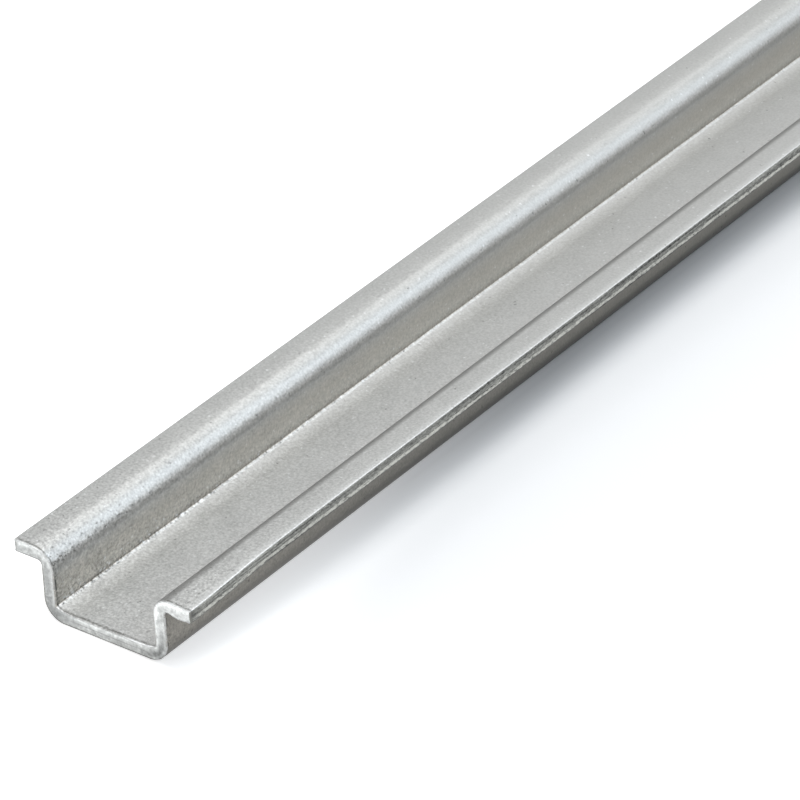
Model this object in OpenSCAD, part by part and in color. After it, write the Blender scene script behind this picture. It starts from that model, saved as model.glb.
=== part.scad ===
// Plain top-hat mounting rail: one strip of sheet steel, roll-formed and sawn to length.
// The base lies on z = 0, the rail runs along Y, and the section is the same all the way along.

/* [Section] */
// Overall width over the two flange tips
rail_w = 15; // [14:0.5:40]
// Overall height, from the underside of the base to the top of the flanges
rail_h = 5.5; // [5:0.25:15]
// Outside width of the channel, over its two walls
channel_w = 10.5; // [8:0.25:11]
// Thickness of the steel strip
sheet_t = 1; // [0.8:0.05:1.2]

/* [Bends and edges] */
// Inside radius of the two bends between the base and the walls
base_bend_r = 0.6; // [0.2:0.1:1.2]
// Inside radius of the two bends between the walls and the flanges
flange_bend_r = 0.6; // [0.2:0.1:1]
// Radius on the slit edges of the strip, at the flange tips
edge_r = 0.12; // [0.05:0.01:0.3]

/* [Length] */
// Length that the rail is sold in
rail_l = 500; // [100:50:2000]

/* [Hidden] */
$fn = 96;
// Colour of the zinc plating
zinc = [0.70, 0.71, 0.70];
// Outer radii of the bends, where the sheet wraps round their inside radii
base_outer_r = base_bend_r + sheet_t;
flange_outer_r = flange_bend_r + sheet_t;
// Distance from the middle of the rail to the inner face of a wall
wall_x = channel_w / 2 - sheet_t;
// Flat parts of the strip, between its bends
base_flat = channel_w - 2 * base_outer_r;
wall_flat = rail_h - base_outer_r - flange_outer_r;
flange_flat = rail_w / 2 - wall_x - flange_outer_r;

// A quarter ring of the sheet: the section of one bend. Its centre is at the origin and it fills the
// quadrant where x and y are both positive.
module bend(inside_r) {
    outside_r = inside_r + sheet_t;
    intersection() {
        difference() {
            circle(r = outside_r);
            circle(r = inside_r);
        }
        square(outside_r);
    }
}

// The straight stretch of a flange, from its bend at x = 0 out to a tip whose two corners are rounded.
module flange_strip() {
    square([flange_flat - edge_r, sheet_t]);
    translate([0, edge_r]) square([flange_flat, sheet_t - 2 * edge_r]);
    for (y = [edge_r, sheet_t - edge_r]) translate([flange_flat - edge_r, y]) circle(r = edge_r);
}

// Half of the section, from the middle of the base out to one flange tip.
module half_section() {
    square([base_flat / 2, sheet_t]);
    translate([base_flat / 2, base_outer_r]) mirror([0, 1]) bend(base_bend_r);
    translate([wall_x, base_outer_r]) square([sheet_t, wall_flat]);
    translate([wall_x + flange_outer_r, rail_h - flange_outer_r]) mirror([1, 0]) bend(flange_bend_r);
    translate([wall_x + flange_outer_r, rail_h - sheet_t]) flange_strip();
}

// The whole top-hat section, drawn with its width along X and its height along Y.
module section() {
    half_section();
    mirror([1, 0]) half_section();
}

// The rail: the section stood up and carried along Y, with half of its length on each side of the origin.
module rail() {
    color(zinc)
        translate([0, rail_l / 2, 0])
            rotate([90, 0, 0])
                linear_extrude(height = rail_l) section();
}

rail();
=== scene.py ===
"""Dresses a plain top-hat mounting rail: one rolled strip of zinc-plated steel, sawn to length.

The rail is a single mesh, carried along Y from one section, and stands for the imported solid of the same
size. It adds what the solid leaves out: the rounded rims of the ends, the torn band along both slit tips,
the sharp creases in the channel and the finish of every face. Lengths are in metres unless a comment says
otherwise, and patterns in a finish are sized in millimetres.
"""

from __future__ import annotations

import logging
import math
from dataclasses import dataclass, field
from enum import IntEnum

import bpy
import numpy as np
from mathutils import Matrix, Vector


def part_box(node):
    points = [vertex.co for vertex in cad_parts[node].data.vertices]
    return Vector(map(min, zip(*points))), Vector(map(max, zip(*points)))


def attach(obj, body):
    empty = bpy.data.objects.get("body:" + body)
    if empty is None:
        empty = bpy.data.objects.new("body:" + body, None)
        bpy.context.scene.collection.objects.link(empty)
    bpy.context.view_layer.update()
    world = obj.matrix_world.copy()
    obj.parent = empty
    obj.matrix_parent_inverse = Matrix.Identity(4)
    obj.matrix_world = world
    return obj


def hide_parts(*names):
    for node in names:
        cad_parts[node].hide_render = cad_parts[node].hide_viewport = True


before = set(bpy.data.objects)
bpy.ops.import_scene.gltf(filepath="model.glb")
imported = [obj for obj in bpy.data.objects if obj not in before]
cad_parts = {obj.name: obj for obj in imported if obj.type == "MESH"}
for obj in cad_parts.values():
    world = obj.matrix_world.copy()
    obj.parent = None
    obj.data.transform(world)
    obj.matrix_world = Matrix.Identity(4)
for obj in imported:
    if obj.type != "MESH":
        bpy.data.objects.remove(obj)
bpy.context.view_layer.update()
LOG = logging.getLogger("top_hat_rail")
MM = 0.001
ROOT_BODY = "root"
RAIL_NODE = "rail"


Colour = tuple[float, float, float, float]


class Face(IntEnum):
    """The rail's kinds of surface, each the number of its material slot."""

    SKIN = 0
    SLIT = 1
    CUT = 2


# --------------------------------------------------------------------------------------------------
# Shader node helpers


@dataclass
class NodeBook:
    """Places and wires the nodes of one tree, so that a finish reads as a list of steps."""

    tree: bpy.types.NodeTree

    def add(self, kind: str, **settings: object) -> bpy.types.Node:
        """Adds one node.

        Args:
            kind: Blender's name of the node type.
            settings: attributes of the node, by name.

        Returns:
            The new node.
        """
        node = self.tree.nodes.new(kind)
        for name, value in settings.items():
            setattr(node, name, value)
        return node

    def feed(self, socket: bpy.types.NodeSocket, value: object) -> None:
        """Links an output to a socket, or sets a plain value on it.

        Args:
            socket: the input to fill.
            value: an output socket, a number or a tuple.
        """
        if isinstance(value, bpy.types.NodeSocket):
            self.tree.links.new(value, socket)
        else:
            socket.default_value = value

    def math(self, operation: str, *values: object, clamp: bool = False) -> bpy.types.NodeSocket:
        """Adds a Math node.

        Args:
            operation: the node's operation.
            values: its inputs in order.
            clamp: whether the result is held between 0 and 1.

        Returns:
            The node's output.
        """
        node = self.add("ShaderNodeMath", operation=operation, use_clamp=clamp)
        for socket, value in zip(node.inputs, values):
            self.feed(socket, value)
        return node.outputs[0]

    def remap(self, value: object, low: float, high: float, to_low: float = 0.0, to_high: float = 1.0,
              shape: str = "LINEAR") -> bpy.types.NodeSocket:
        """Adds a clamped Map Range node.

        Args:
            value: the input.
            low: the input that gives to_low.
            high: the input that gives to_high.
            to_low: the output at low.
            to_high: the output at high.
            shape: LINEAR or SMOOTHSTEP.

        Returns:
            The mapped value.
        """
        node = self.add("ShaderNodeMapRange", interpolation_type=shape, clamp=True)
        for name, number in (("Value", value), ("From Min", low), ("From Max", high),
                             ("To Min", to_low), ("To Max", to_high)):
            self.feed(node.inputs[name], number)
        return node.outputs["Result"]

    def noise(self, vector: object, scale: object, detail: float = 2.0, roughness: float = 0.5,
              distortion: float = 0.0) -> bpy.types.NodeSocket:
        """Adds a 3-D Noise Texture and returns its value, which lies round 0.5."""
        node = self.add("ShaderNodeTexNoise", noise_dimensions="3D")
        for name, number in (("Vector", vector), ("Scale", scale), ("Detail", detail),
                             ("Roughness", roughness), ("Distortion", distortion)):
            self.feed(node.inputs[name], number)
        return node.outputs["Fac"]

    def scaled(self, vector: object, by: tuple[float, float, float]) -> bpy.types.NodeSocket:
        """Adds a Mapping node that multiplies a vector by three factors."""
        node = self.add("ShaderNodeMapping", vector_type="POINT")
        self.feed(node.inputs["Vector"], vector)
        node.inputs["Scale"].default_value = by
        return node.outputs["Vector"]

    def mix_colour(self, share: object, a: object, b: object,
                   blend: str = "MIX") -> bpy.types.NodeSocket:
        """Adds a colour Mix node and returns its colour."""
        node = self.add("ShaderNodeMix", data_type="RGBA", blend_type=blend, clamp_factor=True)
        self.feed(node.inputs[0], share)
        self.feed(node.inputs[6], a)
        self.feed(node.inputs[7], b)
        return node.outputs[2]

    def most(self, *masks: tuple[object, float]) -> bpy.types.NodeSocket:
        """The largest of some masks, each multiplied by its strength first.

        Args:
            masks: pairs of a mask and its strength.

        Returns:
            The joined mask.
        """
        parts = [self.math("MULTIPLY", mask, strength) for mask, strength in masks]
        joined = parts[0]
        for part in parts[1:]:
            joined = self.math("MAXIMUM", joined, part)
        return joined

    def grey(self, value: object) -> bpy.types.NodeSocket:
        """A grey of that value."""
        node = self.add("ShaderNodeCombineColor")
        for socket in node.inputs[:3]:
            self.feed(socket, value)
        return node.outputs["Color"]

    def shaded(self, colour: object, tone: object) -> bpy.types.NodeSocket:
        """A colour multiplied by a tone, which is 1 where the colour stays."""
        return self.mix_colour(1.0, colour, self.grey(tone), "MULTIPLY")

    def attribute(self, name: str) -> bpy.types.NodeSocket:
        """Reads one of the mesh's own attributes as a number."""
        node = self.add("ShaderNodeAttribute", attribute_name=name, attribute_type="GEOMETRY")
        return node.outputs["Fac"]

    def group(self, tree: bpy.types.NodeTree, **values: object) -> bpy.types.Node:
        """Places a node group and fills its inputs, whose names hold a space where the keyword has _."""
        node = self.add("ShaderNodeGroup")
        node.node_tree = tree
        for name, value in values.items():
            self.feed(node.inputs[name.replace("_", " ")], value)
        return node


def new_group(name: str, inputs: dict[str, str], outputs: dict[str, str]) -> tuple[
        bpy.types.NodeTree, NodeBook, bpy.types.Node, bpy.types.Node]:
    """Starts a shader node group.

    Args:
        name: the group's name.
        inputs: each input's name and socket type.
        outputs: each output's name and socket type.

    Returns:
        The tree, its book, its input node and its output node.
    """
    tree = bpy.data.node_groups.new(name, "ShaderNodeTree")
    for way, sockets in (("INPUT", inputs), ("OUTPUT", outputs)):
        for label, kind in sockets.items():
            tree.interface.new_socket(label, in_out=way, socket_type=kind)
    book = NodeBook(tree)
    return tree, book, book.add("NodeGroupInput"), book.add("NodeGroupOutput")


NUMBER, ARROW = "NodeSocketFloat", "NodeSocketVector"


def grain_group() -> bpy.types.NodeTree:
    """The crystalline grain of the plating.

    Fine noise, broader mottling and faint lines drawn along the strip add up to one tone round 0, and the
    fine noise and the lines give the height of the surface.

    Returns:
        A group with a Place in millimetres, the size of a Grain, and the share of Mottle and of Lines.
    """
    tree, book, given, made = new_group(
        "plating_grain",
        {"Place": ARROW, "Grain": NUMBER, "Mottle": NUMBER, "Lines": NUMBER},
        {"Tone": NUMBER, "Height": NUMBER},
    )
    place = given.outputs["Place"]
    per_mm = book.math("DIVIDE", 1.0, given.outputs["Grain"])
    fine = book.math("SUBTRACT", book.noise(place, per_mm, 3.0, 0.65), 0.5)
    broad = book.math("SUBTRACT", book.noise(place, 0.35, 3.0, 0.55), 0.5)
    drawn = book.math("SUBTRACT", book.noise(book.scaled(place, (1.0, 0.02, 1.0)), 5.0, 2.0, 0.6), 0.5)
    tone = book.math("ADD", fine, book.math("MULTIPLY", broad, given.outputs["Mottle"]))
    tone = book.math("ADD", tone, book.math("MULTIPLY", drawn, given.outputs["Lines"]))
    height = book.math("ADD", fine, book.math("MULTIPLY", drawn, given.outputs["Lines"]))
    book.feed(made.inputs["Tone"], tone)
    book.feed(made.inputs["Height"], height)
    return tree


def specks_group() -> bpy.types.NodeTree:
    """Small ragged specks, one at most in each cell of a lattice.

    A cell holds a speck where its random number is over 1 less the Share. The mask falls from 1 in the
    middle to 0 at the speck's radius. Noise sways the lattice, so that the specks aren't round.

    Returns:
        A group with a Place in millimetres, the Pitch of the cells, the speck's Radius as a share of the
        pitch and the Share of cells that hold one.
    """
    tree, book, given, made = new_group(
        "specks",
        {"Place": ARROW, "Pitch": NUMBER, "Radius": NUMBER, "Share": NUMBER},
        {"Mask": NUMBER},
    )
    per_mm = book.math("DIVIDE", 1.0, given.outputs["Pitch"])
    sway = book.add("ShaderNodeTexNoise", noise_dimensions="3D")
    book.feed(sway.inputs["Vector"], given.outputs["Place"])
    book.feed(sway.inputs["Scale"], book.math("MULTIPLY", per_mm, 1.6))
    offset = book.add("ShaderNodeVectorMath", operation="MULTIPLY_ADD")
    book.feed(offset.inputs[0], sway.outputs["Color"])
    offset.inputs[1].default_value = (0.35, 0.35, 0.35)
    book.feed(offset.inputs[2], given.outputs["Place"])
    cells = book.add("ShaderNodeTexVoronoi", voronoi_dimensions="3D", feature="F1")
    book.feed(cells.inputs["Vector"], offset.outputs["Vector"])
    book.feed(cells.inputs["Scale"], per_mm)
    chance = book.add("ShaderNodeSeparateColor")
    book.feed(chance.inputs["Color"], cells.outputs["Color"])
    limit = book.math("SUBTRACT", 1.0, given.outputs["Share"])
    held = book.math("GREATER_THAN", chance.outputs["Red"], limit)
    near = book.remap(cells.outputs["Distance"], 0.0, given.outputs["Radius"], 1.0, 0.0, "SMOOTHSTEP")
    book.feed(made.inputs["Mask"], book.math("MULTIPLY", held, near))
    return tree


# --------------------------------------------------------------------------------------------------
# Finishes


@dataclass(frozen=True)
class ZincSkin:
    """The satin zinc plating on both sides of the strip.

    Attributes:
        shade: plating colour, a neutral grey.
        clear: a lighter plating colour, painted light on the floor of the channel, the lower flange bends
            and
        the fillets.
        wall: plating colour on the walls and the outer side, slightly yellower: a painted warm tint of the
        light reflected onto them.
        pit_and_shade: colour in the bottoms of pits, of dirt and of painted shade.
        spark_and_highlight: colour of bright crystals, of the rubbed rim and of painted highlights.
        metallic: share of the light that is mirrored and not scattered.
        roughness: mean roughness.
    """

    shade: Colour = (0.440, 0.445, 0.436, 1.0)
    clear: Colour = (0.513, 0.516, 0.508, 1.0)
    wall: Colour = (0.456, 0.430, 0.384, 1.0)
    pit_and_shade: Colour = (0.062, 0.06, 0.053, 1.0)
    spark_and_highlight: Colour = (0.80, 0.82, 0.83, 1.0)
    metallic: float = 0.88
    roughness: float = 0.42

    def material(self, grain: bpy.types.NodeTree, specks: bpy.types.NodeTree) -> bpy.types.Material:
        """Builds the plating's material.

        The grain, the specks, the dirt with painted shade and the wear with painted highlights are laid over
        one another in that order.

        Args:
            grain: the shared grain group.
            specks: the shared speck group.

        Returns:
            The material.
        """
        material, book, shader = new_material("zinc_plating")
        place = millimetres(book)
        texture = book.group(grain, Place=place, Grain=0.19, Mottle=0.15, Lines=0.08)
        colour = self.grained(book, texture.outputs["Tone"])
        colour, pitted = self.specked(book, colour, place, specks)
        chips = book.remap(book.noise(place, 3.5, 3.0, 0.7), 0.40, 0.56)
        # Dirt and painted shade darken the plating.
        colour = book.mix_colour(self.soil_and_shade(book, place, chips), colour, self.pit_and_shade)
        rubbed = book.math("MULTIPLY", book.attribute("rim"), book.math("MULTIPLY_ADD", chips, 0.85, 0.15))
        # The rubbed rim, a painted highlight on the right tip's top corner and a painted highlight on the
        # fillets lighten the plating.
        wear_and_highlight = book.most((rubbed, 1.0), (book.attribute("edge"), 0.25), (book.attribute("glint"), 0.32))
        colour = book.mix_colour(wear_and_highlight, colour, self.spark_and_highlight)
        rough = book.math("MULTIPLY_ADD", texture.outputs["Tone"], 0.25, self.roughness)
        rough = book.math("MULTIPLY_ADD", pitted, 0.2, rough, clamp=True)
        height = book.math("SUBTRACT", texture.outputs["Height"], pitted)
        fill(book, shader, colour, self.metallic, rough, height, 0.012 * MM)
        return material

    def grained(self, book: NodeBook, tone: bpy.types.NodeSocket) -> bpy.types.NodeSocket:
        """The plating's colour under its grain, which is strongest where crystals crowd and near a cut.

        Args:
            book: the book of the material's tree.
            tone: the grain's tone, round 0.

        Returns:
            The colour.
        """
        strength = book.math("MULTIPLY_ADD", book.attribute("coarse"), 0.75, 0.5)
        strength = book.math("MULTIPLY_ADD", book.attribute("crowd"), 2.0, strength)
        # A painted warm tint on the walls and the outer side.
        colour = book.mix_colour(book.attribute("warm"), self.shade, self.wall)
        # Painted light: a lighter colour on the floor of the channel, the lower flange bends and the
        # fillets.
        colour = book.mix_colour(book.attribute("bright"), colour, self.clear)
        tone = book.math("MULTIPLY_ADD", tone, strength, 1.0)
        return book.shaded(colour, tone)

    def specked(self, book: NodeBook, colour: bpy.types.NodeSocket, place: bpy.types.NodeSocket,
                specks: bpy.types.NodeTree) -> tuple[bpy.types.NodeSocket, bpy.types.NodeSocket]:
        """Lays dark pits and bright crystals over the colour.

        Args:
            book: the book of the material's tree.
            colour: the colour under them.
            place: the place on the object, in millimetres.
            specks: the shared speck group.

        Returns:
            The new colour and the mask of the pits.
        """
        crowd = book.attribute("crowd")
        reach = book.remap(crowd, 0, 1, 0.42, 0.62)
        strength = book.math("MULTIPLY_ADD", crowd, 0.3, 0.55)
        pitted = book.group(specks, Place=place, Pitch=0.30, Radius=reach,
                            Share=book.remap(crowd, 0, 1, 0.015, 0.40)).outputs["Mask"]
        # More sparks where the plating is painted lighter, part of that painted light.
        share = book.most((book.remap(crowd, 0, 1, 0.05, 0.30), 1.0), (book.attribute("bright"), 0.12))
        sparks = book.group(specks, Place=book.scaled(place, (1.1, 1.0, 1.2)), Pitch=0.34, Radius=reach,
                            Share=share).outputs["Mask"]
        colour = book.mix_colour(book.math("MULTIPLY", pitted, strength), colour, self.pit_and_shade)
        return book.mix_colour(book.math("MULTIPLY", sparks, strength), colour, self.spark_and_highlight), pitted

    def soil_and_shade(self, book: NodeBook, place: bpy.types.NodeSocket,
             chips: bpy.types.NodeSocket) -> bpy.types.NodeSocket:
        """How dirty and how shaded the plating is: painted shade under the section, in the creases, on the
        right bend and in the score behind the rim; darker lines along the cuts and scuffs along the seams,
        both broken up; and stains on the walls near a cut.

        Args:
            book: the book of the material's tree.
            place: the place on the object, in millimetres.
            chips: the pattern that breaks the dirt up, from 0 to 1.

        Returns:
            The share of dirt and painted shade over the plating.
        """
        broken = book.math("MULTIPLY_ADD", chips, 0.75, 0.25)
        scored = book.math("MULTIPLY", book.attribute("score"), broken)
        seam = book.math("MULTIPLY", book.attribute("seam"), book.remap(chips, 0.62, 1.0))
        blotch = book.remap(book.noise(place, 1.1, 4.0, 0.7, 0.4), 0.47, 0.66)
        stain = book.math("MULTIPLY", book.attribute("warm"), book.attribute("near"))
        stain = book.math("MULTIPLY", stain, blotch)
        # under, crease and crest are painted shade, and score is painted shade in the score with darker
        # lines by a cut.
        return book.most((book.attribute("under"), 1.0), (scored, 1.0), (seam, 0.72), (stain, 0.45),
                         (book.attribute("crease"), 0.27), (book.attribute("crest"), 0.6))


@dataclass(frozen=True)
class SlitEdge:
    """The edge of the strip as the slitting knife left it: a smooth land and a torn, darker band.

    Attributes:
        shade: colour of the torn band.
        dark: colour of its pits, of dirt and of painted shade.
        bright: colour of the smooth land's ledge, whose lighter band is partly real burnish and partly a
            painted
        highlight, and of rubbed metal.
        metallic: share of the light that is mirrored and not scattered.
        roughness: mean roughness.
    """

    shade: Colour = (0.225, 0.225, 0.208, 1.0)
    dark: Colour = (0.07, 0.07, 0.065, 1.0)
    bright: Colour = (0.80, 0.79, 0.72, 1.0)
    metallic: float = 0.8
    roughness: float = 0.55

    def material(self, grain: bpy.types.NodeTree, specks: bpy.types.NodeTree) -> bpy.types.Material:
        """Builds the slit edge's material from the shared grain and speck groups."""
        material, book, shader = new_material("slit_edge")
        place = millimetres(book)
        torn = book.group(grain, Place=book.scaled(place, (1.0, 0.45, 1.2)), Grain=0.13, Mottle=0.5,
                          Lines=0.9)
        tone = book.math("MULTIPLY_ADD", torn.outputs["Tone"], 3.0, 1.0)
        colour = book.shaded(self.shade, tone)
        pitted = book.group(specks, Place=book.scaled(place, (1.0, 0.6, 1.0)), Pitch=0.3, Radius=0.45,
                            Share=0.3).outputs["Mask"]
        colour = book.mix_colour(book.math("MULTIPLY", pitted, 0.65), colour, self.dark)
        chips = book.noise(book.scaled(place, (1.0, 0.55, 1.6)), 4.5, 3.0, 0.75)
        chips = book.math("SUBTRACT", chips, 0.5)
        # The ledge is lighter, partly as real burnish and partly as a painted highlight.
        ragged = book.math("MULTIPLY_ADD", chips, 4.2, book.attribute("ledge"))
        shine = book.most((book.remap(ragged, 0.45, 1.1), 0.5), (book.attribute("rim"), 1.0))
        colour = book.mix_colour(shine, colour, self.bright)
        # Painted shade on the tip's bottom corner; darker lines by a cut and a darker strip right at the
        # cut.
        end = book.remap(book.attribute("near"), 0.85, 1.0)
        soil_and_shade = book.most((book.attribute("under"), 1.0), (book.attribute("score"), 1.0), (end, 0.7))
        colour = book.mix_colour(soil_and_shade, colour, self.dark)
        rough = book.math("MULTIPLY_ADD", torn.outputs["Tone"], 0.3, self.roughness, clamp=True)
        height = book.math("SUBTRACT", torn.outputs["Height"], pitted)
        fill(book, shader, colour, self.metallic, rough, height, 0.03 * MM)
        return material


@dataclass(frozen=True)
class CutEnd:
    """Bare steel on the cut ends: duller where it tore, and bright where it was sheared clean.

    Attributes:
        tint: hue of the steel, by which the cut's own tone is multiplied.
        murk: colour of its pits.
        metallic: share of the light that is mirrored and not scattered.
        roughness: mean roughness.
    """

    tint: Colour = (0.99, 1.01, 0.99, 1.0)
    murk: Colour = (0.16, 0.16, 0.15, 1.0)
    metallic: float = 0.5
    roughness: float = 0.45

    def material(self, grain: bpy.types.NodeTree, specks: bpy.types.NodeTree) -> bpy.types.Material:
        """Builds the cut ends' material from the shared grain and speck groups."""
        material, book, shader = new_material("cut_end")
        place = millimetres(book)
        torn = book.group(grain, Place=place, Grain=0.30, Mottle=0.5, Lines=0.0)
        blotch = book.math("SUBTRACT", book.noise(place, 1.9, 3.0, 0.65, 0.3), 0.5)
        mean = book.attribute("cut_tone")
        tone = book.math("MULTIPLY_ADD", blotch, book.math("MULTIPLY_ADD", mean, -2.8, 3.0), 1.0)
        colour = book.shaded(self.tint, book.math("MULTIPLY", mean, tone))
        colour = book.shaded(colour, book.math("ADD", torn.outputs["Tone"], 1.0))
        pits = book.group(specks, Place=place, Pitch=0.4, Radius=0.4, Share=0.16)
        colour = book.mix_colour(book.math("MULTIPLY", pits.outputs["Mask"], 0.4), colour, self.murk)
        rough = book.math("MULTIPLY_ADD", torn.outputs["Tone"], 0.25, self.roughness, clamp=True)
        fill(book, shader, colour, self.metallic, rough, torn.outputs["Height"], 0.02 * MM)
        return material


def new_material(name: str) -> tuple[bpy.types.Material, NodeBook, bpy.types.Node]:
    """Makes an empty material that holds one Principled shader.

    Args:
        name: the material's name.

    Returns:
        The material, the book of its tree and the shader.
    """
    material = bpy.data.materials.new(name)
    material.use_nodes = True
    material.node_tree.nodes.clear()
    book = NodeBook(material.node_tree)
    shader = book.add("ShaderNodeBsdfPrincipled")
    out = book.add("ShaderNodeOutputMaterial")
    book.feed(out.inputs["Surface"], shader.outputs["BSDF"])
    return material, book, shader


def fill(book: NodeBook, shader: bpy.types.Node, colour: object, metallic: float, rough: object,
         height: object, depth: float) -> None:
    """Fills the Principled shader of a metal.

    Args:
        book: the book of the material's tree.
        shader: the shader.
        colour: the metal's colour.
        metallic: share of the light that is mirrored and not scattered.
        rough: its roughness.
        height: the height of its surface, as a pattern round 0.
        depth: how deep a height of 1 is.
    """
    bump = book.add("ShaderNodeBump")
    book.feed(bump.inputs["Height"], height)
    book.feed(bump.inputs["Distance"], depth)
    for name, value in (("Base Color", colour), ("Metallic", metallic), ("Roughness", rough),
                        ("Normal", bump.outputs["Normal"])):
        book.feed(shader.inputs[name], value)


def millimetres(book: NodeBook) -> bpy.types.NodeSocket:
    """The place on the object in millimetres, for patterns whose sizes are in millimetres."""
    return book.scaled(book.add("ShaderNodeTexCoord").outputs["Object"], (1 / MM, 1 / MM, 1 / MM))


# --------------------------------------------------------------------------------------------------
# The rail


class Run(IntEnum):
    """The runs of half a section, from the middle of the underside round to the middle of the channel.

    CORNER is the bottom corner of the tip, TORN its face and TIP its top corner. NOTCH is the hollow side of
    the flange bend. CREASE, FILLET and SWEEP lead from the foot of the wall down to the flat of the base.
    """

    BASE_UNDER = 0
    BASE_BEND = 1
    WALL_OUT = 2
    NOTCH = 3
    FLANGE_UNDER = 4
    CORNER = 5
    TORN = 6
    TIP = 7
    ROLLOVER = 8
    FLAT = 9
    SHOULDER = 10
    FLANGE_BEND = 11
    WALL = 12
    CREASE = 13
    FILLET = 14
    SWEEP = 15
    FLOOR = 16


@dataclass
class Half:
    """Half a section, on which marks from 0 to 1 are laid.

    Attributes:
        runs: the points of each run, in the order of Run.
    """

    runs: list[np.ndarray]

    def span(self, first: Run, last: Run) -> slice:
        """Where the points from one run to another lie."""
        count = np.cumsum([0] + [len(run) for run in self.runs])
        return slice(count[first], count[last + 1])

    def over(self, run: Run, *values: float, to: Run | None = None) -> np.ndarray:
        """A mark that passes through some values, spread evenly over one run or more, and is 0 elsewhere.

        Args:
            run: the first run.
            values: the values, in the order of the points.
            to: the last run, if there is more than one.

        Returns:
            The mark, one number a point.
        """
        points = np.zeros(sum(len(run) for run in self.runs))
        part = self.span(run, run if to is None else to)
        share = np.linspace(0, 1, part.stop - part.start)
        points[part] = np.interp(share, np.linspace(0, 1, len(values)), values)
        return points

    def hump(self, run: Run, at: float, width: float) -> np.ndarray:
        """A mark that swells to 1 at a share of the way along a run."""
        share = np.linspace(0, 1, len(self.runs[run]))
        return self.over(run, *np.exp(-((share - at) / width) ** 2))


@dataclass
class Outline:
    """A closed outline of the section, as arrays with one row for each point.

    Attributes:
        place: x and z of each point.
        normal: unit vector out of the metal at each point.
        face: the kind of surface from each point to the next.
        marks: by name, a number from 0 to 1 at each point, as Section.marks says.
    """

    place: np.ndarray
    normal: np.ndarray
    face: np.ndarray
    marks: dict[str, np.ndarray]


def arc(centre: tuple[float, float], radius: float, start: float, end: float, steps: int) -> np.ndarray:
    """Points on an arc, at centre plus radius times the sine and cosine of lean.

    The lean is the angle from straight up towards +x, so that it is also the lean of the surface's normal.
    A negative radius gives the hollow side of a bend.

    Args:
        centre: x and z of the centre.
        radius: the arc's radius.
        start: first lean in degrees.
        end: last lean in degrees.
        steps: how many points.

    Returns:
        The points, one a row.
    """
    lean = np.radians(np.linspace(start, end, steps))
    return np.array(centre) + radius * np.stack([np.sin(lean), np.cos(lean)], 1)


def both_sides(right: np.ndarray, left: np.ndarray | None = None) -> np.ndarray:
    """A mark of the whole outline: the right half's points, then the left half's in reverse."""
    return np.concatenate([right, (right if left is None else left)[::-1][1:-1]])


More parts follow.
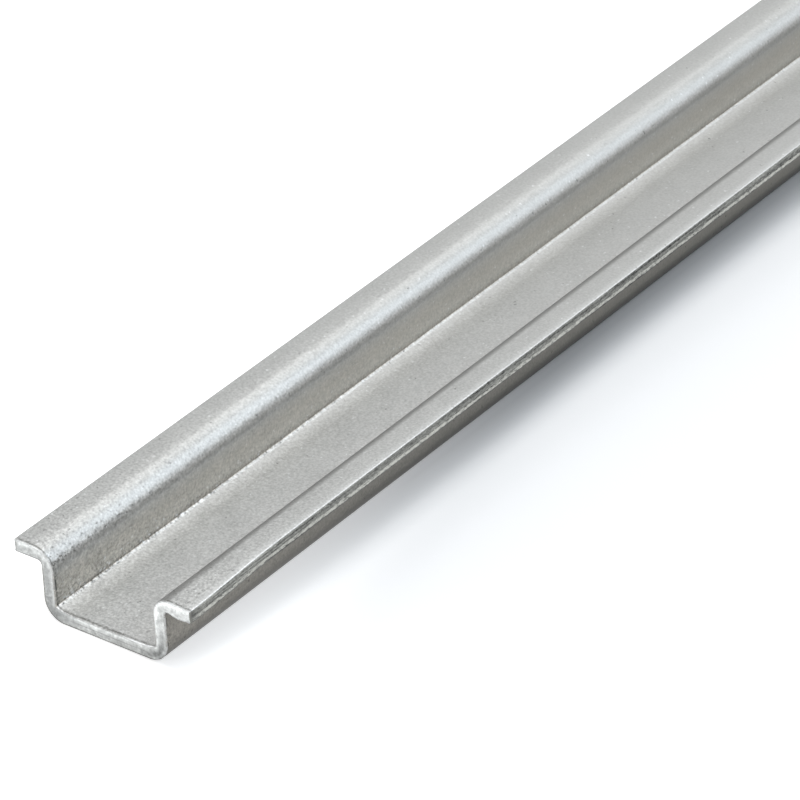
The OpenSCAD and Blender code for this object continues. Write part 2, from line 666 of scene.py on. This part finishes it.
@dataclass
class Section:
    """The rolled section, one side of which is drawn and the other mirrored.

    Attributes:
        width: width over the tips.
        height: height from the underside of the base to the top of the flanges.
        channel: outside width over the walls.
        sheet: thickness of the strip.
        base_bend: outside radius of the bends at the base.
        crease: radius of the sharp crease at the foot of a wall, inside the channel.
        crease_lean: lean of the base's fillet where it meets that crease, in degrees.
        fillet: radius of the fillet between the crease and the base.
        sweep: radius of the last, very slight rise of the base, and its lean in sweep_lean.
        flange_bend: outside radius of the bends at the flanges.
        shoulder: radius of the slight fall of a flange towards its bend, and its lean in shoulder_lean.
        notch: inside radius of the bends at the flanges.
        rollover: radius of the slight fall of a flange towards its tip, and its lean in rollover_lean.
        edge: radius on the slit edges, and burr on the edge that the knife left sharp.
        stand_back: how far the torn part of a tip stands back from the smooth land beside it.
    """

    width: float
    height: float
    channel: float = 10.5 * MM
    sheet: float = 1.0 * MM
    base_bend: float = 1.6 * MM
    crease: float = 0.1 * MM
    crease_lean: float = 34.0
    fillet: float = 0.65 * MM
    sweep: float = 5.0 * MM
    sweep_lean: float = 14.0
    flange_bend: float = 1.7 * MM
    shoulder: float = 7.5 * MM
    shoulder_lean: float = 7.0
    notch: float = 0.35 * MM
    rollover: float = 6.0 * MM
    rollover_lean: float = 4.8
    edge: float = 0.12 * MM
    burr: float = 0.045 * MM
    stand_back: float = 0.03 * MM

    def upper(self, sharp: bool) -> list[np.ndarray]:
        """The side towards the channel, in runs from the tip to the middle of the base.

        The runs are those from Run.TIP to Run.FLOOR. Each arc starts where the last one ended, with the
        same lean, so the bend's centre follows from the wall it runs into and the flat's ends follow from
        the arcs beside it. A sharp tip has hardly any round on its top corner and no rollover.

        Args:
            sharp: whether the knife left the burr at the top of this tip.

        Returns:
            The runs, each with one point a row.
        """
        wall = self.channel / 2 - self.sheet
        top = self.height
        edge, rollover_lean = (self.burr, 0.01) if sharp else (self.edge, self.rollover_lean)
        lean, roll = math.radians(self.shoulder_lean), math.radians(rollover_lean)
        bend_x = wall + self.flange_bend
        join_x = bend_x - self.flange_bend * math.sin(lean)
        flat_in = join_x + self.shoulder * math.sin(lean)
        bend_z = top - self.shoulder * (1 - math.cos(lean)) - self.flange_bend * math.cos(lean)
        corner_x = self.width / 2 - (0 if sharp else self.stand_back) - edge
        flat_out = corner_x + edge * math.sin(roll) - self.rollover * math.sin(roll)
        corner_z = top - self.rollover * (1 - math.cos(roll)) - edge * math.cos(roll)
        steep, slight = math.radians(self.crease_lean), math.radians(self.sweep_lean)
        rise = self.sweep * (1 - math.cos(slight)) + self.fillet * (math.cos(slight) - math.cos(steep))
        crease_z = self.sheet + rise + self.crease * math.cos(steep)
        fillet_x = wall - self.crease * (1 - math.sin(steep)) - self.fillet * math.sin(steep)
        fillet_z = crease_z + (self.fillet - self.crease) * math.cos(steep)
        sweep_x = fillet_x + (self.fillet - self.sweep) * math.sin(slight)
        return [
            arc((corner_x, corner_z), edge, 90, rollover_lean, 9),
            arc((flat_out, top - self.rollover), self.rollover, rollover_lean, 0, 6)[1:],
            np.array([[(flat_out + flat_in) / 2, top]]),
            arc((flat_in, top - self.shoulder), self.shoulder, 0, -self.shoulder_lean, 7),
            arc((bend_x, bend_z), self.flange_bend, -self.shoulder_lean, -90, 30)[1:],
            np.linspace((wall, bend_z), (wall, crease_z), 6)[1:-1],
            arc((wall - self.crease, crease_z), -self.crease, -90, -self.crease_lean, 8),
            arc((fillet_x, fillet_z), -self.fillet, -self.crease_lean, -self.sweep_lean, 12)[1:],
            arc((sweep_x, self.sheet + self.sweep), -self.sweep, -self.sweep_lean, 0, 7)[1:],
            np.linspace((sweep_x, self.sheet), (0, self.sheet), 7)[1:],
        ]

    def lower(self) -> list[np.ndarray]:
        """The side towards the panel, in runs from the middle of the base to the bottom corner of the tip.

        Returns:
            The runs from Run.BASE_UNDER to Run.CORNER, each with one point a row.
        """
        half, under = self.channel / 2, self.height - self.sheet
        turn = half - self.base_bend
        tip = self.width / 2
        return [
            np.linspace((0, 0), (turn, 0), 8)[:-1],
            arc((turn, self.base_bend), self.base_bend, 180, 90, 22),
            np.linspace((half, self.base_bend), (half, under - self.notch), 6)[1:-1],
            arc((half + self.notch, under - self.notch), -self.notch, 90, 180, 10),
            np.linspace((half + self.notch, under), (tip - self.edge, under), 6)[1:-1],
            arc((tip - self.edge, under + self.edge), self.edge, 180, 90, 8),
        ]

    def torn(self, sharp: bool) -> tuple[np.ndarray, np.ndarray]:
        """The face of a tip between its corners, from the bottom up.

        The smooth land that the knife left ends at a ledge, and the torn metal beyond it stands back a
        little. The land is at the bottom, and on a tip with its burr at the top it is at the top.

        Args:
            sharp: whether the knife left the burr at the top of this tip.

        Returns:
            The points, one a row, and how far each lies on the ledge.
        """
        up = np.array([0.13, 0.17, 0.21, 0.25, 0.29, 0.33, 0.42, 0.52, 0.62, 0.72, 0.80])
        back = np.array([0.0, 0.0, 0.1, 0.6, 1.0, 1.0, 1.25, 1.0, 1.3, 1.05, 1.0])
        on_ledge = np.interp(up, [0.12, 0.20, 0.33, 0.45], [0.1, 1.0, 1.0, 0.0])
        if sharp:
            up, back, on_ledge = 1.02 - up[::-1], back[::-1], on_ledge[::-1]
        x = self.width / 2 - back * self.stand_back
        z = self.height - self.sheet + up * self.sheet
        return np.stack([x, z], 1), on_ledge

    def outline(self) -> Outline:
        """The whole section as one closed line, run so that the metal lies on its left.

        The right half goes from the middle of the underside out to the tip and back along the top to the
        middle of the channel. The left half is its mirror image in reverse.

        Returns:
            The outline and what is known of each of its points.
        """
        halves, ledges = [], []
        for sharp in (False, True):
            torn, ledge = self.torn(sharp)
            half = Half([*self.lower(), torn, *self.upper(sharp)])
            halves.append(np.concatenate(half.runs))
            ledges.append(half.over(Run.TORN, *ledge))
        right, left = halves[0], halves[1] * (-1, 1)
        place = np.concatenate([right, left[::-1][1:-1]])
        along = np.roll(place, -1, 0) - np.roll(place, 1, 0)
        normal = np.stack([along[:, 1], -along[:, 0]], 1)
        normal /= np.linalg.norm(normal, axis=1, keepdims=True)
        slit = half.over(Run.CORNER, 1.0, to=Run.TORN)
        slit[half.span(Run.TIP, Run.TIP).start + np.arange(5)] = 1.0
        slit = both_sides(slit)
        face = np.where(np.minimum(slit, np.roll(slit, -1)) > 0, Face.SLIT, Face.SKIN)
        return Outline(place, normal, face, {"ledge": both_sides(*ledges), **self.marks(half)})

    def marks(self, half: Half) -> dict[str, np.ndarray]:
        """What the finishes need to know of the section, by name.

        upper is the side that faces the channel and the sky, and edge a painted highlight along the top
        corner of the right tip. crowd says how thickly pits and sparks lie, bright is painted light on the
        floor of the channel, the lower flange bends and the fillets, warm a painted warm tint on the walls
        and the outer side, and under painted shade on the side towards the panel and, on the left, on the
        flange top. dusk is the top of a flange bend, which is darker near a cut, seam the scuffed line where
        the bend runs into its wall, and crest a line of painted shade on the right bend. At the foot of a
        wall, crease is painted shade in the crease, bead the coarse crystals beside it and glint a painted
        highlight on them.

        Args:
            half: half the section.

        Returns:
            The marks, one number for each point of the whole outline.
        """
        over, hump, bend = half.over, half.hump, Run.FLANGE_BEND
        nothing = np.zeros(sum(len(run) for run in half.runs))
        # Painted highlight along the top corner of the right tip.
        edge = over(Run.TIP, 0.0, 0.6, 1.0, 0.6, 0.0, to=Run.ROLLOVER)
        # Painted shade: a dark line along the top of the right flange bend.
        crest = over(bend, 0.15, 0.8, 1.0, 1.0, 1.0, 0.8, 0.45, 0.2, 0.05, 0.0)
        # Painted shade on the side towards the panel: the underside, the outer bends and walls and the tips'
        # bottom corners.
        under = (over(Run.BASE_UNDER, 0.7, 0.9) + over(Run.BASE_BEND, 0.95, 0.95, 0.93, 0.8, 0.6)
                 + over(Run.WALL_OUT, 0.56, 0.60, 0.68) + over(Run.NOTCH, 0.72, 0.82)
                 + over(Run.FLANGE_UNDER, 0.8, 0.6) + over(Run.CORNER, 0.8, 0.5))
        # Painted shade on the top of the left flange, strongest at its tip.
        left_flange_shade = over(Run.TIP, 0.11, 0.1, 0.08, 0.04, 0.0, to=Run.SHOULDER)
        return {
            "upper": both_sides(over(Run.TIP, 1.0, to=Run.FLOOR)),
            "edge": both_sides(edge, nothing),
            "crest": both_sides(crest, nothing),
            "under": both_sides(under, under + left_flange_shade),
            "crowd": both_sides(
                hump(bend, 0.70, 0.12) + over(Run.WALL, 0.0, 0.1, 0.5) + over(Run.CREASE, 1.0)
                + over(Run.FILLET, 1.0, 0.7, 0.2, 0.0, to=Run.SWEEP)),
            # Painted light on the lower flange bend, the top of the wall, the fillets and the channel floor.
            "bright": both_sides(
                over(bend, 0, 0, 0, 0, 0, 0, 0.1, 0.4, 0.6, 0.8, 0.8, 0.5) + over(Run.WALL, 0.2, 0, 0, 0)
                + over(Run.FILLET, 0.9, 1.0, 1.0, 0.7, to=Run.SWEEP) + over(Run.FLOOR, 0.6, 0.45)),
            # A painted warm tint on the outer bends and walls, the lower flange bends, the inner walls and
            # the creases.
            "warm": both_sides(
                over(Run.BASE_BEND, 0.6, 1.0, 1.0, to=Run.NOTCH) + over(bend, 0, 0, 0, 0, 0.5, 1.0)
                + over(Run.WALL, 1.0, to=Run.CREASE)),
            "dusk": both_sides(over(bend, 0.0, 0.5, 1.0, 1.0, 1.0, 1.0, 0.5, 0.0)),
            "seam": both_sides(hump(bend, 0.71, 0.09)),
            # Painted shade in the crease at the foot of the wall.
            "crease": both_sides(over(Run.CREASE, 0.6, 1.0, 0.6, 0.0)),
            "bead": both_sides(over(Run.CREASE, 0.5, 0.9, 1.0, 1.0, 0.8, 0.3, to=Run.FILLET)),
            # Painted highlight on the fillet at the foot of the wall.
            "glint": both_sides(over(Run.FILLET, 0.0, 0.35, 1.0, 0.7, 0.0, 0.0, to=Run.SWEEP)),
        }

    def core(self) -> np.ndarray:
        """The line halfway through the sheet, short of the tips by half a sheet, one point a row."""
        half = self.sheet / 2
        mid = self.channel / 2 - half
        base, flange = self.base_bend - half, self.flange_bend - half
        top = self.height - half
        right = np.concatenate([
            np.linspace((0, half), (mid - base, half), 40),
            arc((mid - base, half + base), base, 180, 90, 30),
            np.linspace((mid, half + base), (mid, top - flange), 20),
            arc((mid + flange, top - flange), flange, -90, 0, 30),
            np.linspace((mid + flange, top), (self.width / 2 - half, top), 20),
        ])
        return np.concatenate([right[::-1] * (-1, 1), right])


@dataclass
class Ending:
    """How the strip closes on a sawn end, and how the saw marked the strip near it.

    Attributes:
        lip: radius of the turned-over rim.
        score: depth of the shallow score behind the rim.
        fall: how far the saw pressed the right flange's tip down at the near end.
        hinge: x at which that flange starts to fall, and overhang how far out from there it has fallen
            fully.
        above: height over which the strip is pressed.
        settle: distance from the cut over which the flange comes back up.
        bulge: how far its underside bulges next to the cut, and pinch the x of that bulge.
        wall_darkening, foot_darkening, bend_darkening: the same for the darker band on the walls along a
        cut, the darker line at the foot of the right wall and the darker top of the flange bends.
            the duller top of the flange bends.
        along, tone: places along the strip, in millimetres from its middle line, and how much light the bare
            metal reflects there.
        through, lift: places through the sheet, from 0 on the panel side to 1 on the channel side, and how
            much more or less light it reflects there.
        torn: place along the strip and through the sheet of the dark heart of the right base bend.
    """

    lip: float = 0.06 * MM
    score: float = 0.02 * MM
    fall: float = 0.33 * MM
    hinge: float = 4.7 * MM
    overhang: float = 2.8 * MM
    above: float = 3.5 * MM
    settle: float = 9.5 * MM
    bulge: float = 0.12 * MM
    pinch: float = 6.3 * MM
    scuffed: float = 7 * MM
    coarse: float = 45 * MM
    wall_darkening: float = 0.45 * MM
    foot_darkening: float = 1.2 * MM
    bend_darkening: float = 5 * MM
    along: tuple[float, ...] = (-10.2, -6.6, -4.2, -2.0, 2.0, 4.3, 6.6, 8.6)
    tone: tuple[float, ...] = (0.50, 0.41, 0.31, 0.52, 0.53, 0.44, 0.60, 0.68)
    through: tuple[float, ...] = (0.05, 0.15, 0.3, 0.6, 0.75, 0.9, 0.97)
    lift: tuple[float, ...] = (0.75, 0.92, 0.86, 0.93, 1.10, 1.28, 0.85)
    torn: tuple[float, float] = (4.5, 0.36)

    def steps(self) -> tuple[np.ndarray, np.ndarray, np.ndarray, np.ndarray]:
        """The rings of one end, from the cut inwards.

        The rim is a quarter round. The score is a shallow dip behind it, and past that the rings stand
        closer together over the part that settles.

        Returns:
            For each ring: distance from the cut, draw into the metal, depth in the score and wear, the last
            two from 0 to 1.
        """
        turn = np.radians(np.linspace(0, 90, 6))
        far = np.array([0.10, 0.15, 0.20, 0.27, 0.36, 0.6, 1.0, 1.6, 2.4, 3.4, 4.6, 6.0, 7.7, 9.5]) * MM
        deep = np.array([0.2, 1.0, 1.0, 0.5] + [0.0] * 10)
        off = np.concatenate([self.lip * (1 - np.cos(turn)), far])
        draw = np.concatenate([self.lip * (1 - np.sin(turn)), self.score * deep])
        wear = np.concatenate([np.ones(6), [0.5], np.zeros(13)])
        return off, draw, np.concatenate([np.zeros(6), deep]), wear

    def bare(self, along: np.ndarray, through: np.ndarray) -> np.ndarray:
        """How much light the bare metal of a cut reflects at each of its points.

        Args:
            along: how far along the strip each point lies, in millimetres from its middle line.
            through: how far through the sheet it lies, from 0 on the panel side to 1 on the channel side.

        Returns:
            The reflectance of each point.
        """
        tone = np.interp(along, self.along, self.tone) * np.interp(through, self.through, self.lift)
        heart = np.exp(-((along - self.torn[0]) / 1.2) ** 2 - ((through - self.torn[1]) / 0.2) ** 2)
        return tone * (1 - 0.55 * heart)

    def press(self, place: np.ndarray, under: np.ndarray, off: np.ndarray) -> np.ndarray:
        """How far the saw pressed each point of the right flange down.

        The fall grows from the bend to the tip, fast at first, and dies out away from the cut as half a
        cosine. The underside bulges a little where the metal was squeezed.

        Args:
            place: x and z of each point.
            under: 1 on the side towards the panel, 0 on the other.
            off: distance of each point from the cut.

        Returns:
            The fall of each point.
        """
        flange = place[..., 1] > self.above
        out = np.clip((place[..., 0] - self.hinge) / self.overhang, 0, 1)
        calm = 0.5 + 0.5 * np.cos(np.pi * np.clip(off / self.settle, 0, 1))
        fall = self.fall * (1 - (1 - out) ** 2) * calm
        squeeze = np.exp(-((place[..., 0] - self.pinch) / (0.6 * MM)) ** 2 - (off / (0.8 * MM)) ** 2)
        return (fall + self.bulge * squeeze * under) * flange


@dataclass
class TopHatRail:
    """The rolled strip: its section, its run along Y and its finish.

    Attributes:
        low: lowest corner of the rail's box.
        high: highest corner of the rail's box.
        pitch: distance between rings along the rail.
        ending: how the sawn ends are shaped.
        skin: finish of the plating.
        slit: finish of the tips.
        cut: finish of the ends.
    """

    low: Vector
    high: Vector
    pitch: float = 3.0 * MM
    ending: Ending = field(default_factory=Ending)
    skin: ZincSkin = field(default_factory=ZincSkin)
    slit: SlitEdge = field(default_factory=SlitEdge)
    cut: CutEnd = field(default_factory=CutEnd)

    def rows(self, inset: np.ndarray) -> dict[str, np.ndarray]:
        """Where the outline is repeated: over the near cut, along the rail and over the far cut.

        Args:
            inset: the shares of the way to the core at which the outline is repeated on a cut, from the rim
                in.

        Returns:
            For each row: y, share of the way to the core, draw, score, wear and whether the row after it
            closes a strip of the cut.
        """
        off, draw, score, wear = self.ending.steps()
        length = self.high.y - self.low.y
        spans = int((length - 2 * off[-1]) / self.pitch)
        middle = np.linspace(off[-1], length - off[-1], spans + 1)[1:-1]
        blank, caps = np.zeros(len(middle)), len(inset)
        rim_wear = np.interp(inset, [0.0, 0.1, 0.25], [1.0, 0.8, 0.0])
        flat, lipped = np.zeros(caps), np.full(caps, draw[0])
        near = {"y": flat, "inset": inset[::-1], "draw": lipped, "score": flat, "wear": rim_wear[::-1]}
        end = {"y": off, "inset": off * 0, "draw": draw, "score": score, "wear": wear}
        mid = {"y": middle, "inset": blank, "draw": blank, "score": blank, "wear": blank}
        rows = {}
        for name in near:
            first = np.concatenate([near[name], end[name]])
            last = length - first[::-1] if name == "y" else first[::-1]
            rows[name] = np.concatenate([first, mid[name], last])
        rows["y"] = rows["y"] + self.low.y
        number = np.arange(len(rows["y"]))
        rows["cut"] = (number < caps) | (number >= len(number) - caps - 1)
        return rows

    def mesh(self) -> bpy.types.Mesh:
        """Carries the outline along Y as one closed grid and shuts both cuts with the outline's own shape.

        Point (i, j) is outline point j at row i, moved into the metal by the row's draw, or on a cut moved
        the row's share of the way to the nearest point of the core. The press of the saw is taken off its
        height.

        Returns:
            The mesh, with its attributes and material numbers.
        """
        section = Section(self.high.x - self.low.x, self.high.z - self.low.z)
        line = section.outline()
        rows = self.rows(np.array([0.07, 0.15, 0.3, 0.6, 0.9]))
        count, n = len(rows["y"]), len(line.place)
        core = section.core()
        closest = np.argmin(((line.place[:, None] - core[None]) ** 2).sum(-1), axis=1)
        nearest = core[closest]
        flat = line.place[None] - rows["draw"][:, None, None] * line.normal[None]
        flat = flat + rows["inset"][:, None, None] * (nearest[None] - flat)
        off = np.broadcast_to((rows["y"] - self.low.y)[:, None], (count, n))
        under = np.broadcast_to(1 - line.marks["upper"], (count, n))
        spots = np.stack([flat[..., 0], rows["y"][:, None] + flat[..., 0] * 0, flat[..., 1]], -1)
        fall = self.ending.press(flat, under, off)
        spots[..., 2] = np.clip(spots[..., 2] - fall, self.low.z, self.high.z)
        i, j = np.meshgrid(np.arange(count - 1), np.arange(n), indexing="ij")
        corners = [i * n + j, (i + 1) * n + j, (i + 1) * n + (j + 1) % n, i * n + (j + 1) % n]
        quads = np.stack(corners, -1).reshape(-1, 4)
        lids = [tuple(range(n)), tuple(range(count * n - 1, (count - 1) * n - 1, -1))]
        mesh = bpy.data.meshes.new("rail_strip")
        mesh.from_pydata(spots.reshape(-1, 3).tolist(), [], [*map(tuple, quads.tolist()), *lids])
        cut = rows["cut"][:-1] & rows["cut"][1:]
        kinds = np.append(np.where(cut[:, None], Face.CUT, line.face[None]).ravel(), [Face.CUT] * 2)
        mesh.polygons.foreach_set("material_index", kinds.astype(np.int32))
        mesh.polygons.foreach_set("use_smooth", np.append(np.repeat(~cut, n), [False, False]))
        run = np.concatenate([[0.0], np.cumsum(np.linalg.norm(np.diff(core, axis=0), axis=1))]) / MM
        self.mark(mesh, line, rows, (run - run[-1] / 2)[closest])
        mesh.validate()
        mesh.update()
        return mesh

    def mark(self, mesh: bpy.types.Mesh, line: Outline, rows: dict[str, np.ndarray],
             along: np.ndarray) -> None:
        """Stores the masks that the finishes read, one number a point.

        Some are the section's marks as they are. The others change towards the cuts: near and coarse die out
        away from them, rim is the rubbed rim, score is painted shade in the score behind it with a darker
        line along the rim and darker bands along the cuts on the walls and at the foot of the right wall,
        under also darkens the top of the flange bends near a cut, and cut_tone is the tone of the bare
        metal.

        Args:
            mesh: the rail's mesh.
            line: the section's outline.
            rows: the rows of the grid.
            along: how far along the strip each point of the outline lies, in millimetres from its middle
                line.
        """
        marks, x = line.marks, line.place[:, 0] / MM
        end = np.minimum(rows["y"] - self.low.y, self.high.y - rows["y"])[:, None]
        wear, scored, inset = (rows[name][:, None] for name in ("wear", "score", "inset"))
        near, coarse = np.exp(-end / self.ending.scuffed), np.exp(-(end / self.ending.coarse) ** 2)
        polished = np.interp(x, [-4.4, -3.8, 1.2, 2.4, 3.6, 4.2], [0.25, 0.0, 0.0, 0.7, 0.6, 0.4])
        foot = (1 - polished) * (x > -4) * marks["upper"]
        through = 0.5 + 0.5 * (1 - inset) * (2 * marks["upper"] - 1)
        masks = {name: marks[name] for name in ("ledge", "edge", "crease", "crest", "bright", "warm")}
        masks |= {
            "near": near,
            "coarse": coarse,
            "rim": wear * polished * np.maximum(marks["upper"], x > 4),
            # Painted shade in the score behind the rim, and darker lines along the cuts.
            "score": np.maximum.reduce([
                scored * (0.7 + 0.3 * marks["warm"]),
                wear * 0.55 * foot,
                0.9 * np.exp(-end / self.ending.wall_darkening) * marks["warm"],
                np.exp(-end / self.ending.foot_darkening) * marks["bead"] * (x > 0),
            ]),
            # Painted shade under the section, with the top of the flange bends darker near a cut.
            "under": np.maximum(marks["under"], 0.2 * marks["dusk"] * np.exp(-end / self.ending.bend_darkening)),
            "seam": marks["seam"] * near,
            "crowd": np.clip(
                marks["crowd"] * (0.2 + 0.8 * near) + marks["bead"] * (0.1 + 0.7 * coarse**2)
                + 0.35 * near * (1 - marks["bright"]), 0, 1),
            # The painted highlight on the fillets is weaker near a cut.
            "glint": marks["glint"] * (1 - 0.6 * near),
            "cut_tone": self.ending.bare(along, through),
        }
        shape = (len(rows["y"]), len(line.place))
        for name, values in masks.items():
            layer = mesh.attributes.new(name, "FLOAT", "POINT")
            numbers = np.ascontiguousarray(np.broadcast_to(values, shape), np.float32)
            layer.data.foreach_set("value", numbers.ravel())

    def build(self) -> bpy.types.Object:
        """Makes the rail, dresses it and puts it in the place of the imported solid.

        Returns:
            The rail's object.
        """
        rail = bpy.data.objects.new("rail_strip", self.mesh())
        bpy.context.scene.collection.objects.link(rail)
        grain, specks = grain_group(), specks_group()
        for finish in (self.skin, self.slit, self.cut):
            rail.data.materials.append(finish.material(grain, specks))
        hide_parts(RAIL_NODE)
        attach(rail, ROOT_BODY)
        return rail


# --------------------------------------------------------------------------------------------------
# Studio


@dataclass(frozen=True)
class Lamp:
    """A soft, far lamp.

    Attributes:
        name: the lamp's name.
        around: where it stands round the rail, in degrees from the near end towards +x.
        height: how high it stands above the table, in degrees.
        strength: its strength.
        tint: its colour.
        spread: how wide it looks, in degrees.
    """

    name: str
    around: float
    height: float
    strength: float
    tint: tuple[float, float, float] = (1.0, 1.0, 1.0)
    spread: float = 34.0

    def build(self) -> bpy.types.Object:
        """Adds the lamp to the scene.

        Returns:
            The lamp's object.
        """
        data = bpy.data.lights.new(self.name, "SUN")
        data.energy, data.angle, data.color = self.strength, math.radians(self.spread), self.tint
        around, height = math.radians(self.around), math.radians(self.height)
        flat = math.cos(height)
        source = Vector((math.sin(around) * flat, -math.cos(around) * flat, math.sin(height)))
        lamp = bpy.data.objects.new(self.name, data)
        lamp.rotation_euler = source.to_track_quat("Z", "Y").to_euler()
        bpy.context.scene.collection.objects.link(lamp)
        return lamp


COOL = (0.90, 1.0, 1.11)
LAMPS = (
    Lamp("front_lamp", -25.0, 8.0, 1.30),
    Lamp("top_lamp", 0.0, 90.0, 0.35),
    Lamp("far_top_lamp", 180.0, 68.0, 0.66),
    Lamp("back_lamp", 120.0, 35.0, 0.69, COOL),
    Lamp("high_lamp", 120.0, 55.0, 0.34, COOL),
)


@dataclass
class Studio:
    """A white table, an even white surround and a few soft lamps.

    Attributes:
        near_end: y of the near end of the rail.
        half: half the table's width.
        albedo: how much light the table scatters.
        shown: its brightness where it is seen or mirrored: beside the walls, where it is darker than its
            colour as
        a painted shadow, further out, and where it reads as plain white, brighter than its colour, which
        paints out the rail's own shadow there.
        apart: the distances from the middle of the rail that go with them.
        glow: painted light that it shows on top of that to the left of the rail and round its near end,
            which
        makes the rail's shadow faint there, as two shares that fall off over pool and over fringe.
        pool, fringe: between which distances each share of the glow falls to nothing, where the distance is
            four times x plus the way from the near end.
        ambient: strength of the surround as a source of scattered light.
        lamps: the lamps.
    """

    near_end: float
    half: float = 3.0
    albedo: float = 0.94
    shown: tuple[float, float, float] = (0.78, 1.13, 1.20)
    apart: tuple[float, float, float] = (5.2 * MM, 7.5 * MM, 12.5 * MM)
    glow: tuple[float, float] = (0.38, 0.42)
    pool: tuple[float, float] = (28 * MM, 68 * MM)
    fringe: tuple[float, float] = (-20 * MM, 48 * MM)
    ambient: float = 0.3
    lamps: tuple[Lamp, ...] = LAMPS

    def seen(self, book: NodeBook) -> bpy.types.NodeSocket:
        """1 for camera rays and for rays that a mirror or glass sends on, 0 for light that is scattered."""
        path = book.add("ShaderNodeLightPath")
        either = book.math("MAXIMUM", path.outputs["Is Camera Ray"], path.outputs["Is Glossy Ray"])
        return book.math("MAXIMUM", either, path.outputs["Is Transmission Ray"])

    def table(self) -> bpy.types.Object:
        """The white table under the rail: one square at the height of the rail's underside."""
        corners = np.array([(-1, -1, 0), (1, -1, 0), (1, 1, 0), (-1, 1, 0)]) * self.half
        mesh = bpy.data.meshes.new("table")
        mesh.from_pydata(corners.tolist(), [], [(0, 1, 2, 3)])
        table = bpy.data.objects.new("table", mesh)
        bpy.context.scene.collection.objects.link(table)
        material = bpy.data.materials.new("white_table")
        material.use_nodes = True
        material.node_tree.nodes.clear()
        book = NodeBook(material.node_tree)
        seen = self.seen(book)
        spot = book.add("ShaderNodeTexCoord").outputs["Object"]
        axes = book.add("ShaderNodeSeparateXYZ")
        book.feed(axes.inputs["Vector"], spot)
        beyond = book.math("ADD", book.math("ABSOLUTE", axes.outputs["Y"]), self.near_end)
        apart = book.math("MULTIPLY_ADD", book.math("MAXIMUM", beyond, 0.0), 10.0,
                          book.math("ABSOLUTE", axes.outputs["X"]))
        # A painted shadow beside the walls, and painted light further out that whitens the rail's own
        # shadow.
        shown = book.math("ADD", book.remap(apart, *self.apart[:2], *self.shown[:2]),
                          book.remap(apart, *self.apart[1:], 0.0, self.shown[2] - self.shown[1]))
        paper = book.add("ShaderNodeBsdfDiffuse")
        white = book.math("MULTIPLY_ADD", seen, book.math("SUBTRACT", shown, self.albedo), self.albedo)
        book.feed(paper.inputs["Color"], book.grey(white))
        along = book.add("ShaderNodeVectorMath", operation="DOT_PRODUCT")
        book.feed(along.inputs[0], spot)
        along.inputs[1].default_value = (4.0, 1.0, 0.0)
        along = book.math("SUBTRACT", along.outputs["Value"], self.near_end)
        # A painted pool of light that fades the rail's shadow round its near end and to its left.
        pool = book.remap(along, *self.pool, self.glow[0], 0.0, "SMOOTHSTEP")
        pool = book.math("ADD", pool, book.remap(along, *self.fringe, self.glow[1], 0.0))
        glow = book.add("ShaderNodeEmission")
        book.feed(glow.inputs["Strength"], book.math("MULTIPLY", seen, pool))
        both = book.add("ShaderNodeAddShader")
        book.feed(both.inputs[0], paper.outputs[0])
        book.feed(both.inputs[1], glow.outputs[0])
        out = book.add("ShaderNodeOutputMaterial")
        book.feed(out.inputs["Surface"], both.outputs[0])
        mesh.materials.append(material)
        return table

    def surround(self) -> None:
        """A white world, plain white where it is seen or mirrored, and dimmer as a source of light."""
        world = bpy.data.worlds.new("surround")
        bpy.context.scene.world = world
        world.use_nodes = True
        world.node_tree.nodes.clear()
        world.cycles.sampling_method = "NONE"
        book = NodeBook(world.node_tree)
        sky = book.add("ShaderNodeBackground")
        sky.inputs["Color"].default_value = (1.0, 1.0, 1.0, 1.0)
        book.feed(sky.inputs["Strength"], book.remap(self.seen(book), 0, 1, self.ambient, 1.0))
        out = book.add("ShaderNodeOutputWorld")
        book.feed(out.inputs["Surface"], sky.outputs[0])

    def build(self) -> None:
        """Sets up the table, the surround and the lamps."""
        self.table()
        self.surround()
        for lamp in self.lamps:
            lamp.build()


@dataclass
class Viewpoint:
    """The camera, looking along the rail from beyond its near end.

    Attributes:
        near_end: the middle of the rail's underside at its near end.
        azimuth: how far round to the right the camera stands, in degrees.
        elevation: how far above the horizon it stands, in degrees.
        roll: how far it leans, in degrees.
        back, right, up: where it stands from the near end, along its own axes.
        lens: focal length in millimetres.
    """

    near_end: Vector
    azimuth: float = 38.10
    elevation: float = 31.97
    roll: float = -2.81
    back: float = 365.9 * MM
    right: float = 19.46 * MM
    up: float = 16.04 * MM
    lens: float = 248.1

    def build(self) -> bpy.types.Object:
        """Places the camera and makes it the scene's.

        The view direction follows from azimuth and elevation, and the camera's right and up axes are then
        turned about it by the roll.

        Returns:
            The camera.
        """
        a, e, r = (math.radians(v) for v in (self.azimuth, self.elevation, self.roll))
        ahead = Vector((-math.sin(a) * math.cos(e), math.cos(a) * math.cos(e), -math.sin(e)))
        side = Vector((math.cos(a), math.sin(a), 0.0))
        over = side.cross(ahead)
        right = math.cos(r) * side + math.sin(r) * over
        up = math.cos(r) * over - math.sin(r) * side
        data = bpy.data.cameras.new("camera")
        data.lens, data.sensor_width, data.clip_start, data.clip_end = self.lens, 36.0, 0.01, 100.0
        camera = bpy.data.objects.new("camera", data)
        bpy.context.scene.collection.objects.link(camera)
        spot = self.near_end + right * self.right + up * self.up - ahead * self.back
        turn = Matrix((right, up, -ahead)).transposed().to_4x4()
        camera.matrix_world = Matrix.Translation(spot) @ turn
        bpy.context.scene.camera = camera
        return camera


def main() -> None:
    """Builds the rail, the studio and the camera in order, and reports each."""
    logging.basicConfig(level=logging.INFO, format="%(name)s: %(message)s")
    low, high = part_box(RAIL_NODE)
    rail = TopHatRail(Vector(low), Vector(high)).build()
    LOG.info("%s: %d faces", rail.name, len(rail.data.polygons))
    Studio(low[1]).build()
    LOG.info("table, surround and lamps are set")
    Viewpoint(Vector((0.0, low[1], low[2]))).build()
    LOG.info("camera is set")
    bpy.context.scene.view_settings.view_transform = "Standard"


if __name__ == "__main__":
    main()
